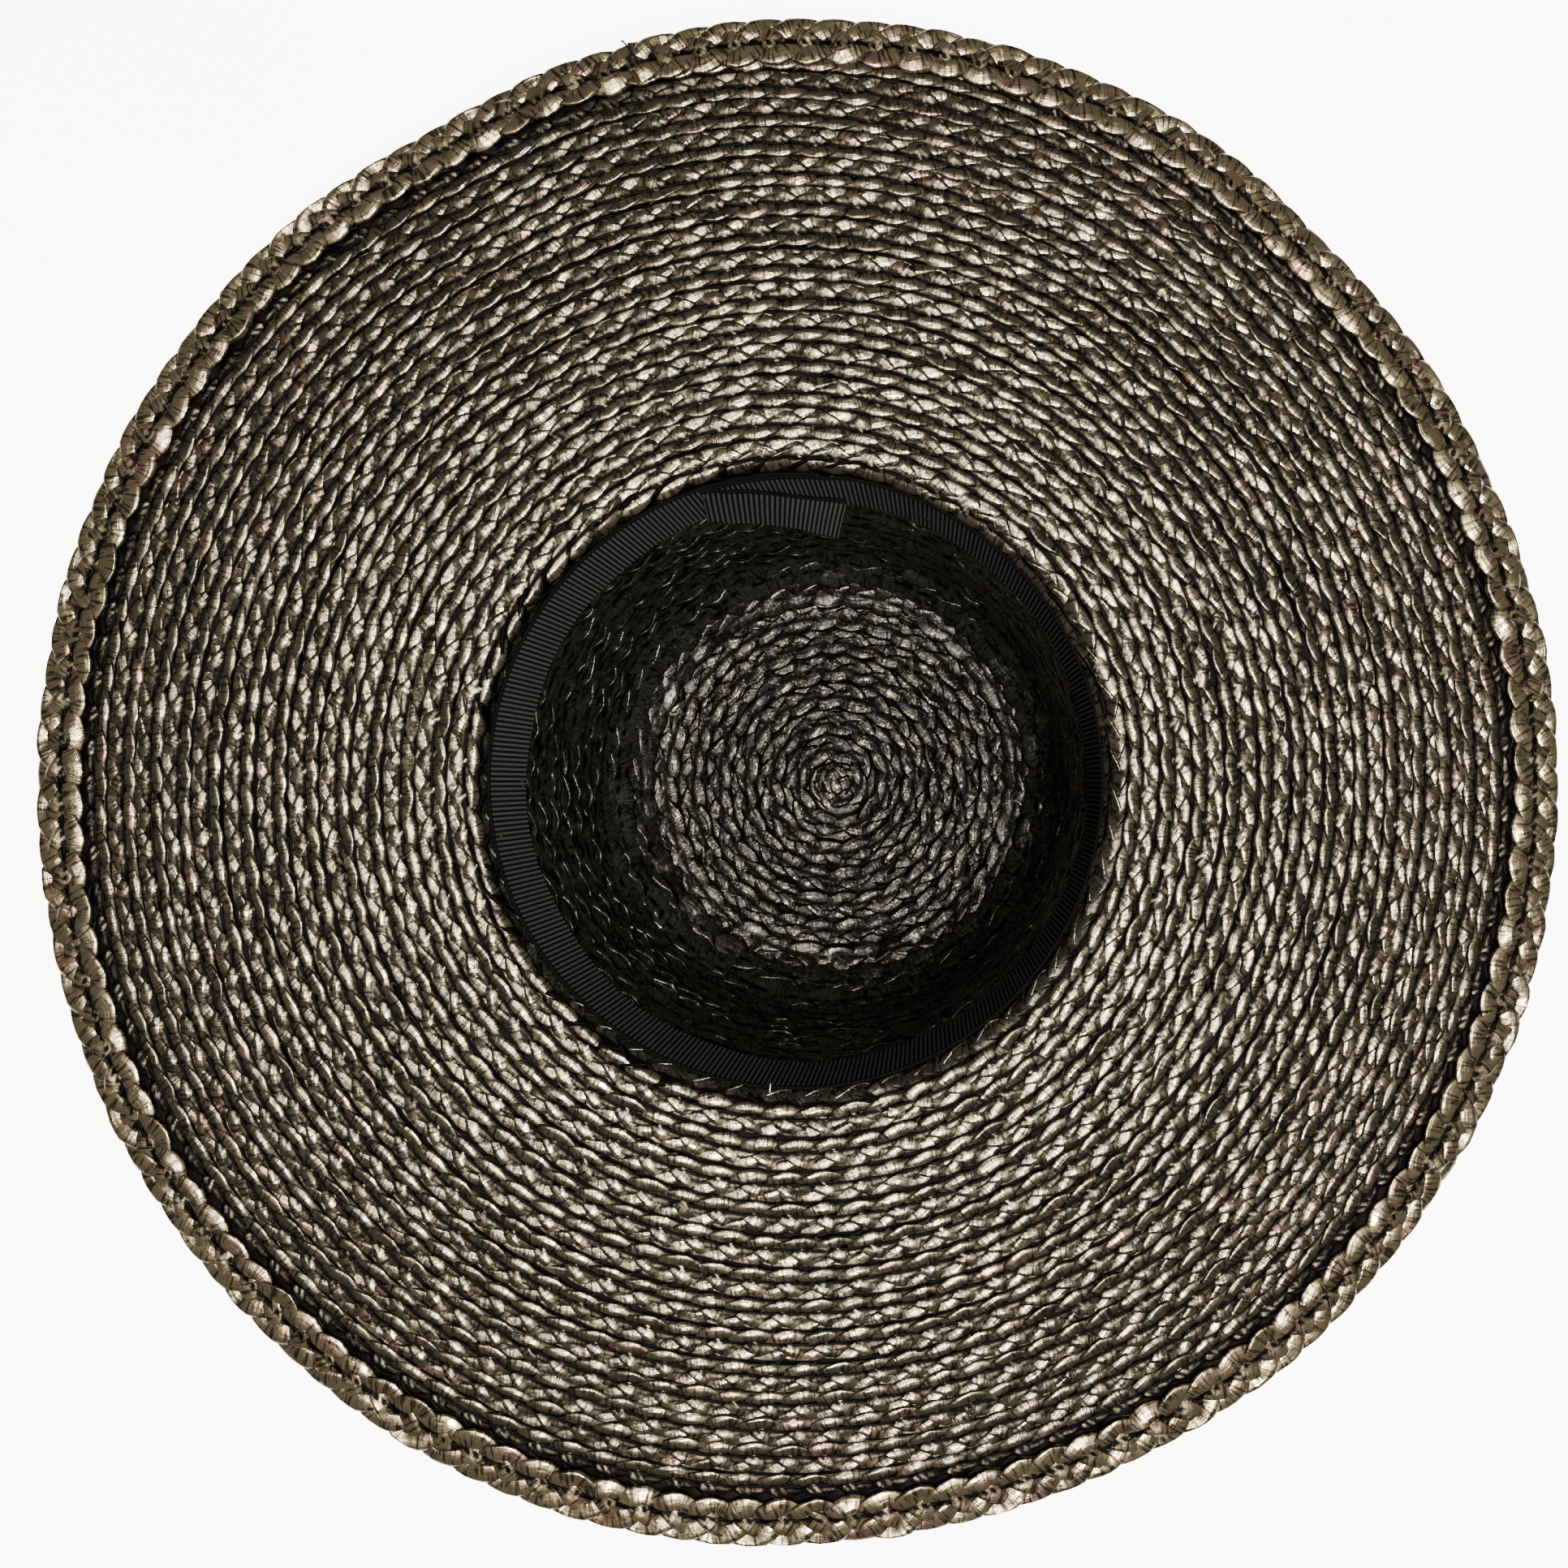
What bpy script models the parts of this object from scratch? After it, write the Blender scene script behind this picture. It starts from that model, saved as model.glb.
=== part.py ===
"""Floppy hat sewn from paper braid, lying upside down on its crown.

The braid runs in one spiral from the middle of the crown's tip, up the side and out
over the brim, and each turn laps over the next. Here the turns are ribs on closed walls.
Metres, +Z up. The tip's flat face rests at z = 0 and the head opening looks up.
Directions are turned from +X towards +Y.
"""

import math

import bmesh
import bpy
import numpy as np

# Driving dimensions, in metres and degrees
OPENING_RADIUS = 0.0893  # inner face of the crown at the head line
CROWN_DEPTH = 0.112  # from the resting face to the brim's face at the head line
SIDE_FLARE = 6.5  # how far the crown's side opens out, from upright
SHOULDER_RADIUS = 0.026  # round between tip and side
HEAD_LINE_RADIUS = 0.006  # bend between side and brim
BRIM_WIDTH = 0.1287  # from the end of that bend to the rim
BRIM_DROOP = 0.0105  # how far the rim sags below the head line
CROWN_LEAN = 0.0155  # how far the tip has slumped towards +X under the opening
WALL = 0.0022  # two laps of the braid
ROW_STEP = 0.0008  # how far each turn stands over the next
ROW_PITCH = 0.0094  # from one turn of the braid to the next
EDGE_BRAID_WIDTH = 0.0150  # the last turn, which shows its full width
EDGE_BRAID_THICKNESS = 0.0016
EDGE_BRAID_END = 103.0  # direction where the last turn ends
EDGE_BRAID_END_GAP = 0.0012  # between its two ends
RIBBON_WIDTH = 0.026
RIBBON_THICKNESS = 0.0009
RIBBON_DROP = 0.0012  # from the head line down to the ribbon's upper edge
TONGUE_THICKNESS = 0.0011  # the ribbon's loose end, lapped over its start
CLEARANCE = 0.0003  # between one piece and the next
SEGMENTS = 44

# The rim seen from above: radius and sag as shares of the plain round brim's
RIM_COLUMNS = ("direction", "radius_share", "sag_share")
RIM = (
    (0, 1.006, 1.15),
    (30, 0.999, 1.05),
    (45, 0.993, 1.00),
    (58, 1.004, 0.85),
    (75, 1.005, 0.80),
    (90, 1.000, 0.82),
    (105, 0.992, 0.90),
    (119, 0.982, 1.05),
    (135, 0.992, 1.10),
    (180, 1.003, 1.20),
    (215, 1.007, 0.95),
    (240, 1.007, 0.75),
    (295, 0.995, 0.80),
    (315, 1.005, 0.90),
    (330, 1.008, 1.00),
)

# The loose end of the ribbon: direction, then how far its lower edge hangs and how far
# its face stands off, as shares of the ribbon's width
TONGUE = (
    (107, 0.04, 0.00),
    (101, 0.22, 0.03),
    (94, 0.38, 0.09),
    (87, 0.46, 0.16),
    (81, 0.50, 0.22),
)

# Colours, with roughness, of the two stuffs
PAPER = ((0.055, 0.040, 0.026), 0.42)
RIBBON = ((0.012, 0.012, 0.013), 0.80)

# Worked out from the sizes above
FACE = (WALL - ROW_STEP) / 2  # the low faces lie this far either side of the middle
PROUD = FACE + ROW_STEP
CLIMB = math.radians(90 - SIDE_FLARE)
TIP_Z = PROUD
HEAD_LINE_Z = CROWN_DEPTH - PROUD
SHOULDER_TOP_Z = TIP_Z + SHOULDER_RADIUS * (1 - math.cos(CLIMB))
SIDE_TOP_Z = HEAD_LINE_Z - HEAD_LINE_RADIUS * (1 - math.cos(CLIMB))
SIDE_RUN = (SIDE_TOP_Z - SHOULDER_TOP_Z) / math.sin(CLIMB)
SIDE_TOP_RADIUS = OPENING_RADIUS + PROUD
SHOULDER_TOP_RADIUS = SIDE_TOP_RADIUS - SIDE_RUN * math.cos(CLIMB)
TIP_RADIUS = SHOULDER_TOP_RADIUS - SHOULDER_RADIUS * math.sin(CLIMB)
BRIM_START_RADIUS = SIDE_TOP_RADIUS + HEAD_LINE_RADIUS * math.sin(CLIMB)

# Lengths along the wall from the middle of the tip
SHOULDER_START = TIP_RADIUS
SIDE_START = SHOULDER_START + SHOULDER_RADIUS * CLIMB
SIDE_END = SIDE_START + SIDE_RUN
BRIM_START = SIDE_END + HEAD_LINE_RADIUS * CLIMB
RIM_END = BRIM_START + BRIM_WIDTH


def rim_share(column, direction):
    """A column of the rim's table, eased between its rows and closed round."""
    place = RIM_COLUMNS.index(column)
    keys = np.array([row[0] for row in RIM] + [RIM[0][0] + 360.0])
    values = np.array([row[place] for row in RIM + RIM[:1]])
    direction = np.mod(direction - keys[0], 360.0) + keys[0]
    low = np.clip(np.searchsorted(keys, direction, side="right") - 1, 0, len(keys) - 2)
    part = (direction - keys[low]) / (keys[low + 1] - keys[low])
    return values[low] + (values[low + 1] - values[low]) * part * part * (3 - 2 * part)


def meridian(along):
    """Radius, height and inward normal of the wall's middle at this length from the tip."""
    if along <= SHOULDER_START:
        return along, TIP_Z, 0.0, 1.0
    if along <= SIDE_START:
        turn = (along - SHOULDER_START) / SHOULDER_RADIUS
        radius = TIP_RADIUS + SHOULDER_RADIUS * math.sin(turn)
        height = TIP_Z + SHOULDER_RADIUS * (1 - math.cos(turn))
        return radius, height, -math.sin(turn), math.cos(turn)
    if along <= SIDE_END:
        run = along - SIDE_START
        radius = SHOULDER_TOP_RADIUS + run * math.cos(CLIMB)
        height = SHOULDER_TOP_Z + run * math.sin(CLIMB)
        return radius, height, -math.sin(CLIMB), math.cos(CLIMB)
    if along <= BRIM_START:
        turn = CLIMB - (along - SIDE_END) / HEAD_LINE_RADIUS
        radius = SIDE_TOP_RADIUS + HEAD_LINE_RADIUS * (math.sin(CLIMB) - math.sin(turn))
        height = SIDE_TOP_Z + HEAD_LINE_RADIUS * (math.cos(turn) - math.cos(CLIMB))
        return radius, height, -math.sin(turn), math.cos(turn)
    return BRIM_START_RADIUS + along - BRIM_START, HEAD_LINE_Z, 0.0, 1.0


def wall_point(along, off, direction):
    """A point `off` to the inside of the wall's middle, with the lean, rim shape and sag."""
    radius, height, out, up = meridian(along)
    radius += off * out
    lean = CROWN_LEAN * max(0.0, 1 - height / HEAD_LINE_Z)
    height += off * up
    share = max(0.0, (along - BRIM_START) / BRIM_WIDTH)
    radius *= 1 + (rim_share("radius_share", direction) - 1) * share
    height -= BRIM_DROOP * rim_share("sag_share", direction) * share**2
    turn = math.radians(direction)
    return radius * math.cos(turn) + lean, radius * math.sin(turn), height


def side_point(height, off, direction):
    """A point beside the crown's straight side, at a height and `off` to its inside."""
    radius = SIDE_TOP_RADIUS + (height - SIDE_TOP_Z) / math.tan(CLIMB) - off
    lean = CROWN_LEAN * (1 - height / HEAD_LINE_Z)
    turn = math.radians(direction)
    return radius * math.cos(turn) + lean, radius * math.sin(turn), height


def row_edges(start, end):
    """Where the turns of the braid meet between two lengths, one pitch apart or nearly."""
    return np.linspace(start, end, round((end - start) / ROW_PITCH) + 1)


def inner_ribs(edges):
    """Inner face: each turn stands proud at its edge nearer the tip and dives outwards."""
    section = []
    for low, high in zip(edges[:-1], edges[1:]):
        section += [(low, PROUD), (high, FACE)]
    return section


def outer_ribs(edges):
    """Outer face: the other side of the same turns, proud at the edge nearer the rim."""
    section = []
    for low, high in zip(edges[:-1], edges[1:]):
        section += [(low, -FACE), (high, -PROUD)]
    return section


def paint(name, colour, roughness):
    material = bpy.data.materials.new(name)
    material.use_nodes = True
    shader = material.node_tree.nodes["Principled BSDF"]
    shader.inputs["Base Color"].default_value = (*colour, 1.0)
    shader.inputs["Roughness"].default_value = roughness
    return material


def finish(bm, name, stuff):
    """Turns a bmesh into a smooth-shaded object with its own material."""
    bmesh.ops.recalc_face_normals(bm, faces=bm.faces)
    mesh = bpy.data.meshes.new(name)
    bm.to_mesh(mesh)
    bm.free()
    mesh.shade_smooth()
    mesh.set_sharp_from_angle(angle=math.radians(30))
    mesh.materials.append(paint(name + "_finish", *stuff))
    obj = bpy.data.objects.new(name, mesh)
    bpy.context.collection.objects.link(obj)
    return obj


def ring_faces(bm, rings, closed):
    """Quads between neighbouring rings of points; `closed` joins the ends of each ring."""
    count = len(rings[0])
    last = count if closed else count - 1
    for ring, following in zip(rings[:-1], rings[1:]):
        for here in range(last):
            there = (here + 1) % count
            bm.faces.new((ring[here], ring[there], following[there], following[here]))


def swept_rings(bm, section, place, directions):
    return [[bm.verts.new(place(*pair, turn)) for turn in directions] for pair in section]


def all_round():
    return [360.0 * step / SEGMENTS for step in range(SEGMENTS)]


def crown():
    """A cup: flat resting face, ribbed outside, rim at the head line, ribbed inside."""
    edges = row_edges(0.0, SIDE_END - CLEARANCE / 2)
    flat = edges[edges <= SHOULDER_START][-1]
    outside = outer_ribs(edges[edges >= flat])
    inside = inner_ribs(edges[1:])
    section = [(flat, -PROUD)] + outside + inside[::-1]
    bm = bmesh.new()
    rings = swept_rings(bm, section, wall_point, all_round())
    ring_faces(bm, rings, closed=True)
    bm.faces.new(rings[0])
    bm.faces.new(rings[-1])
    return finish(bm, "crown", PAPER)


def brim():
    """From the bend at the head line to the last turn but one, ribbed on both faces."""
    edges = row_edges(SIDE_END + CLEARANCE / 2, RIM_END - ROW_PITCH)
    section = outer_ribs(edges) + inner_ribs(edges)[::-1]
    bm = bmesh.new()
    rings = swept_rings(bm, section, wall_point, all_round())
    ring_faces(bm, rings + rings[:1], closed=True)
    return finish(bm, "brim", PAPER)


def edge_braid():
    """The last turn of the braid, lapped over the brim's face, with its two cut ends."""
    low = PROUD + CLEARANCE
    high = low + EDGE_BRAID_THICKNESS
    inner = RIM_END - EDGE_BRAID_WIDTH
    section = ((inner, low), (RIM_END, low), (RIM_END, high), (inner, high))
    half_gap = math.degrees(EDGE_BRAID_END_GAP / 2 / (BRIM_START_RADIUS + BRIM_WIDTH))
    start = EDGE_BRAID_END + half_gap
    directions = np.linspace(start, start + 360 - 2 * half_gap, SEGMENTS + 1)
    bm = bmesh.new()
    rings = swept_rings(bm, section, wall_point, directions)
    ring_faces(bm, rings + rings[:1], closed=False)
    bm.faces.new([ring[0] for ring in rings])
    bm.faces.new([ring[-1] for ring in rings])
    return finish(bm, "edge_braid", PAPER)


def ribbon_tongue():
    """The loose end: lapped over the ribbon at one side, hanging and standing off it."""
    top = CROWN_DEPTH - RIBBON_DROP - RIBBON_WIDTH / 2
    foot = CROWN_DEPTH - RIBBON_DROP - RIBBON_WIDTH
    back = PROUD + CLEARANCE + RIBBON_THICKNESS / 2
    bm = bmesh.new()
    slices = []
    for direction, hang, stand_off in TONGUE:
        low = foot - hang * RIBBON_WIDTH
        away = back + stand_off * RIBBON_WIDTH
        corners = (
            (top, back),
            (low, away),
            (low, away + TONGUE_THICKNESS),
            (top, back + TONGUE_THICKNESS),
        )
        slices.append([bm.verts.new(side_point(*corner, direction)) for corner in corners])
    ring_faces(bm, slices, closed=True)
    bm.faces.new(slices[0])
    bm.faces.new(slices[-1])
    tongue = finish(bm, "ribbon_tongue_guide", RIBBON)
    tongue.hide_render = True
    tongue.display_type = "WIRE"
    return tongue


def sweatband():
    """A ribbon standing inside the crown, up to the head line, with its lapped end."""
    top = CROWN_DEPTH - RIBBON_DROP
    foot = top - RIBBON_WIDTH
    back = PROUD + CLEARANCE
    front = back + RIBBON_THICKNESS
    section = ((foot, back), (top, back), (top, front), (foot, front))
    bm = bmesh.new()
    rings = swept_rings(bm, section, side_point, all_round())
    ring_faces(bm, rings + rings[:1], closed=True)
    band = finish(bm, "sweatband", RIBBON)
    union = band.modifiers.new("lapped end", "BOOLEAN")
    union.operation = "UNION"
    union.object = ribbon_tongue()
    return band


def main():
    for obj in list(bpy.data.objects):
        bpy.data.objects.remove(obj)
    crown()
    brim()
    edge_braid()
    sweatband()


main()
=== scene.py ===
"""Floppy hat sewn from one long plait of glossy paper strands, lying on its crown.

The plait has four strands. It winds from the middle of the tip, up the side and out
over the brim, and each turn laps over the one inside it. Metres, +Z up, the head
opening up.
"""

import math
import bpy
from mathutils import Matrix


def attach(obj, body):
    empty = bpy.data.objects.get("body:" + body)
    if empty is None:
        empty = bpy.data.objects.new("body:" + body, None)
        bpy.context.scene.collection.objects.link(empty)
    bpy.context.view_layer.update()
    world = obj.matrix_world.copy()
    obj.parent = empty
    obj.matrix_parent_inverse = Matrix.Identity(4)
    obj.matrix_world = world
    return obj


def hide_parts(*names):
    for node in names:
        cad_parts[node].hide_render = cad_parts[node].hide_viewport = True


bl_info = {
    "name": "Floppy Braid Hat",
    "version": (1, 0, 0),
    "blender": (4, 5, 0),
    "location": "3D View > Sidebar > Hat",
    "description": "Builds a sewn paper braid hat over its packed solids",
    "category": "Add Mesh",
}

import bpy
import numpy as np
from bpy.props import (
    FloatProperty, FloatVectorProperty, IntProperty, PointerProperty)
from bpy.types import Operator, Panel, PropertyGroup

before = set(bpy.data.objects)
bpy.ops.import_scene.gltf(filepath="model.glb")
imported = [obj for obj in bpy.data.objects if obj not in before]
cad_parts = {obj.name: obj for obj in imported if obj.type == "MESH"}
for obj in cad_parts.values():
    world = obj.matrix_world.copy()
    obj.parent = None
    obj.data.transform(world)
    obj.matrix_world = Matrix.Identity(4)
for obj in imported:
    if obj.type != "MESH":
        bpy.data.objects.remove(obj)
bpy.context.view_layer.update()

# The wall, as the solids have it, in metres
OPENING_RADIUS = 0.0893
CROWN_DEPTH = 0.112
SIDE_FLARE = 6.5
SHOULDER_RADIUS = 0.026
HEAD_LINE_RADIUS = 0.006
BRIM_WIDTH = 0.1287
BRIM_DROOP = 0.0105
CROWN_LEAN = 0.0155
PROUD = 0.0015
BRAID_END = math.radians(103.0)
RIBBON_WIDTH = 0.026
RIBBON_DROP = 0.0012
RIBBON_BACK = 0.0018

# Where the braid lies, in metres
RIM_TO_STITCH = 0.0081
TIP_TO_STITCH = 0.0030
STITCH_TO_MIDDLE = 0.00165
SWING = 0.00405
LAST_TURN_NEARER = 0.0007
LAST_TURN_SWING = 0.00125
HEART_HALF = 0.0052
GROOVE_HALF = 0.0008
FLOOR_GAP = 0.0001
SLOPE_STEP = 0.001

# How much leaves differ: the spread of each draw, in degrees, metres and shares
ROLL_SPREAD = 10.0
RISE_SPREAD = 0.00005
SHIFT_SPREAD = 0.00014
WIDTH_SPREAD = 0.08
CREASE_SPREAD = 0.22
TICK_HEIGHT = 0.14
TICK_WIDTH = 0.05
LEAF_DRAWS = 4000
TICK_DRAWS = 20000

# The rim from above: direction in degrees, radius and sag as shares of the round brim
RIM = np.array((
    (0, 1.006, 1.15),
    (30, 0.999, 1.05),
    (45, 0.993, 1.00),
    (58, 1.004, 0.85),
    (75, 1.005, 0.80),
    (90, 1.000, 0.82),
    (105, 0.992, 0.90),
    (119, 0.982, 1.05),
    (135, 0.992, 1.10),
    (180, 1.003, 1.20),
    (215, 1.007, 0.95),
    (240, 1.007, 0.75),
    (295, 0.995, 0.80),
    (315, 1.005, 0.90),
    (330, 1.008, 1.00),
    (360, 1.006, 1.15),
))

# The ribbon's loose end: direction in degrees, then how far it hangs and stands off, as
# shares of the ribbon's width
TONGUE = np.array((
    (107, 0.04, 0.00),
    (101, 0.22, 0.03),
    (94, 0.38, 0.09),
    (87, 0.46, 0.16),
    (81, 0.50, 0.22),
))

# Worked out from the sizes above
CLIMB = math.radians(90 - SIDE_FLARE)
TIP_Z = PROUD
HEAD_LINE_Z = CROWN_DEPTH - PROUD
SHOULDER_TOP_Z = TIP_Z + SHOULDER_RADIUS * (1 - math.cos(CLIMB))
SIDE_TOP_Z = HEAD_LINE_Z - HEAD_LINE_RADIUS * (1 - math.cos(CLIMB))
SIDE_RUN = (SIDE_TOP_Z - SHOULDER_TOP_Z) / math.sin(CLIMB)
SIDE_TOP_RADIUS = OPENING_RADIUS + PROUD
SIDE_START_RADIUS = SIDE_TOP_RADIUS - SIDE_RUN * math.cos(CLIMB)
TIP_RADIUS = SIDE_START_RADIUS - SHOULDER_RADIUS * math.sin(CLIMB)
SIDE_START = TIP_RADIUS + SHOULDER_RADIUS * CLIMB
SIDE_END = SIDE_START + SIDE_RUN
BRIM_START = SIDE_END + HEAD_LINE_RADIUS * CLIMB
RIM_END = BRIM_START + BRIM_WIDTH

# Where one piece of braid ends and the next starts, as lengths along the wall
SIDE_CUT = SIDE_END + 0.002
INNER_CUT = BRIM_START + 0.046
MIDDLE_CUT = BRIM_START + 0.083
RIM_TO_CUT = 0.0087

# The ribbon: where it starts, how far round it runs, and its loose end
RIBBON_TOP = CROWN_DEPTH - RIBBON_DROP
RIBBON_START = math.radians(86.0)
RIBBON_SWEEP = math.radians(382.0)
RIBBON_WALL = 0.0006
RIBBON_DROPS = np.array(
    (0.0, 0.015, 0.04, 0.07, 0.2, 0.4, 0.6, 0.8, 0.93, 0.96, 0.985, 1.0))
TONGUE_LENGTH = 0.041
TONGUE_START = 108
TONGUE_SWEEP = 27

# Share of a row that a turn moves in after the braid's end, by share of the turn
JOG = np.array((
    (0.0, 0.0), (0.05, 0.5), (0.10, 0.78), (0.22, 0.95), (0.5, 0.99), (1.0, 1.0)))

# Turns past the whole rows at the tip, so that the last turn ends at the braid's end
START_TURN = 0.91

# Points along the spiral, either side of one that is eased, along each crossing and
# back of a strand, and past the ends of a piece, so that its neighbour meets it
SPIRAL_POINTS = 26000
SPIRAL_EASE = 60
SAMPLES = 20
PAST_ENDS = 6

# Across a strand: side to side from -1 to 1, and height over its middle. The last two
# points are its underside.
STRAND_ACROSS = np.array((-1.0, -0.8, -0.42, 0.0, 0.42, 0.8, 1.0, 0.6, -0.6))
STRAND_HEIGHT = np.array((0.0, 0.66, 0.93, 1.0, 0.93, 0.66, 0.0, -0.55, -0.55))
UNDERSIDE = 7

# The inner leaves' strip: share of its half width, and depth in tenths of a millimetre
HEART = ((-1, 1.5), (-0.35, 1), (0.35, 1), (1, 1.5), (1, 3), (-1, 3))

# The knot in the middle of the tip: points along a leaf, leaves under and over
KNOT_POINTS = 15
KNOT_UNDER = 6
KNOT_OVER = 16

# Stitches over the braid's cut end: first and last direction in degrees, and the ends'
# distances in from the rim
END_STITCHES = ((101.9, 103.2, 0.0118, -0.0016), (102.9, 102.6, 0.009, 0.0))
END_STITCH_RADIUS = 0.00028
STITCH_LENGTH = 0.0042
THREAD_START = 0.02
THREAD_STEP = 0.0026
TACK_DIRECTION = math.radians(-94.7)
TACK_RADIUS = 0.00013

# Noise in the paper: cycles per centimetre along and across a strand, and from leaf to
# leaf
PATCHES = (0.9, 2.0, 1.0)
FOLDS = (1.6, 11.0, 1.0)
TICKS = (8.0, 2.2, 1.0)
FACETS = (4.5, 6.0, 1.0)
FLECKS = (5.0, 9.0, 1.0)
PLEATS = (11.0, 1.6, 1.0)

# Fixed tints, which go over the colours that can be set. The side, tip, pleat, seam and
# valley tints are painted shade.
BLUSH = (0.19, 0.125, 0.085, 1.0)
SIDE_PAINTED_SHADE = (0.038, 0.040, 0.035, 1.0)
TIP_PAINTED_SHADE = (0.004, 0.0035, 0.0033, 1.0)
PAINTED_PLEAT_SHADE = (0.010, 0.008, 0.007, 1.0)
PAINTED_SEAM_SHADE = (0.0012, 0.0008, 0.0009, 1.0)
YARN_TINT = (0.050, 0.0490, 0.0485, 1.0)
LINT_TINT = (0.035, 0.033, 0.031, 1.0)
PAINTED_VALLEY_SHADE = (0.0005, 0.0005, 0.0005, 1.0)
BOARD_TINT = (0.93, 0.925, 0.91, 1.0)
BOARD_GLOW = (0.20, 0.20, 0.195, 1.0)
SKY_TINT = (1.0, 0.99, 0.97, 1.0)
LAMP_TINT = (1.0, 0.975, 0.92)

# The stage: the camera, and each lamp's name, place, side in metres and power in watts
CAMERA_PLACE = (-0.0033, -0.0009, 0.5752)
CAMERA_LENS = 36.73
CAMERA_SENSOR = 36.0
LAMP_AIM = (0.0, 0.0, 0.1)
LAMPS = (
    ("sky", (0.06, -0.10, 1.7), 1.5, 12.0),
    ("above", (0.12, -0.14, 1.3), 0.10, 6.0),
    ("right", (0.25, -0.06, 1.3), 0.16, 25.0),
    ("left", (-0.30, 0.0, 1.3), 0.16, 8.0),
    ("front", (0.05, -0.36, 1.3), 0.16, 40.0),
    ("back", (0.0, 0.34, 1.3), 0.16, 15.0),
)
FLOOR_REACH = 12.0

# Strengths of the floor, and of the backdrop as it looks to the camera and as it lights
FLOOR_STRENGTH = 6.0
BACKDROP_SEEN = 6.4
BACKDROP_LIGHT = 0.015


class HatBraid(PropertyGroup):
    """Sizes of the plait and the ribbon."""

    row_pitch: FloatProperty(
        name="Row pitch", description="From one turn to the next", default=0.0094,
        min=0.007, max=0.012, unit="LENGTH")
    period: FloatProperty(
        name="Plait repeat",
        description="Length in which a strand crosses over and back",
        default=0.0415, min=0.02, max=0.06, unit="LENGTH")
    strand_width: FloatProperty(
        name="Strand width", description="Width of one paper strand",
        default=0.0046, min=0.002, max=0.006, unit="LENGTH")
    strand_height: FloatProperty(
        name="Strand height", description="Height of a strand over its middle",
        default=0.00055, min=0.0002, max=0.001, unit="LENGTH")
    crossing: FloatProperty(
        name="Crossing height",
        description="How far strands rise and dip where they cross",
        default=0.0004, min=0.0001, max=0.001, unit="LENGTH")
    groove: FloatProperty(
        name="Stitch groove", description="How deep the sewn line is pulled in",
        default=0.0009, min=0.0, max=0.0015, unit="LENGTH")
    thread: FloatProperty(
        name="Thread radius", description="Radius of the sewing thread",
        default=0.00022, min=0.0001, max=0.0005, unit="LENGTH")
    rib: FloatProperty(
        name="Ribbon rib", description="From one rib of the ribbon to the next",
        default=0.00146, min=0.0006, max=0.003, unit="LENGTH")
    seed: IntProperty(
        name="Seed", description="Start of the small hand-made differences", default=7)


class HatColours(PropertyGroup):
    """Colours of the finishes."""

    paper: FloatVectorProperty(
        name="Paper", description="Main colour of the strands",
        subtype="COLOR", size=3, default=(0.092, 0.079, 0.053), min=0, max=1)
    paper_dark: FloatVectorProperty(
        name="Dark paper", description="Strands with less glaze",
        subtype="COLOR", size=3, default=(0.022, 0.0178, 0.0160), min=0, max=1)
    paper_gold: FloatVectorProperty(
        name="Gold paper", description="Strands with a golden glaze",
        subtype="COLOR", size=3, default=(0.174, 0.137, 0.080), min=0, max=1)
    thread: FloatVectorProperty(
        name="Thread", description="Sewing thread", subtype="COLOR", size=3,
        default=(0.002, 0.0018, 0.0016), min=0, max=1)
    tack: FloatVectorProperty(
        name="Tack", description="The one pale stitch over the ribbon's edge",
        subtype="COLOR", size=3, default=(0.45, 0.44, 0.42), min=0, max=1)
    ribbon: FloatVectorProperty(
        name="Ribbon", description="Ribbed ribbon inside the crown",
        subtype="COLOR", size=3, default=(0.0190, 0.0187, 0.0185), min=0, max=1)
    floor: FloatVectorProperty(
        name="Floor", description="Pale floor", subtype="COLOR", size=3,
        default=(0.90, 0.895, 0.875), min=0, max=1)


def rim_share(column, direction):
    """Share from the rim's table, eased between its rows by 3t*t - 2t*t*t."""
    turn = np.degrees(direction) % 360.0
    low = np.clip(np.searchsorted(RIM[:, 0], turn, side="right") - 1, 0, len(RIM) - 2)
    part = (turn - RIM[low, 0]) / (RIM[low + 1, 0] - RIM[low, 0])
    step = RIM[low + 1, column] - RIM[low, column]
    return RIM[low, column] + step * part * part * (3 - 2 * part)


def wall(along, off, direction):
    """Points on the hat's wall: flat tip, round shoulder, flared side, bend and brim.

    `along` is the length from the middle of the tip, `off` the distance to the inside
    and `direction` the turn about the opening. Radius and height are sums of each
    stretch's run.
    """
    turn = np.clip((along - TIP_RADIUS) / SHOULDER_RADIUS, 0.0, CLIMB)
    run = np.clip(along - SIDE_START, 0.0, SIDE_RUN)
    bend = np.clip((along - SIDE_END) / HEAD_LINE_RADIUS, 0.0, CLIMB)
    out = np.maximum(along - BRIM_START, 0.0)
    radius = np.minimum(along, TIP_RADIUS) + SHOULDER_RADIUS * np.sin(turn)
    radius += run * math.cos(CLIMB) + out
    radius += HEAD_LINE_RADIUS * (math.sin(CLIMB) - np.sin(CLIMB - bend))
    height = TIP_Z + SHOULDER_RADIUS * (1 - np.cos(turn)) + run * math.sin(CLIMB)
    height += HEAD_LINE_RADIUS * (np.cos(CLIMB - bend) - math.cos(CLIMB))
    heading = turn - bend
    lean = CROWN_LEAN * np.maximum(0.0, 1 - height / HEAD_LINE_Z)
    radius = radius - off * np.sin(heading)
    height = height + off * np.cos(heading)
    share = out / BRIM_WIDTH
    radius = radius * (1 + (rim_share(1, direction) - 1) * share)
    height = height - BRIM_DROOP * rim_share(2, direction) * share**2
    return np.stack(
        (radius * np.cos(direction) + lean, radius * np.sin(direction), height),
        axis=-1)


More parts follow.
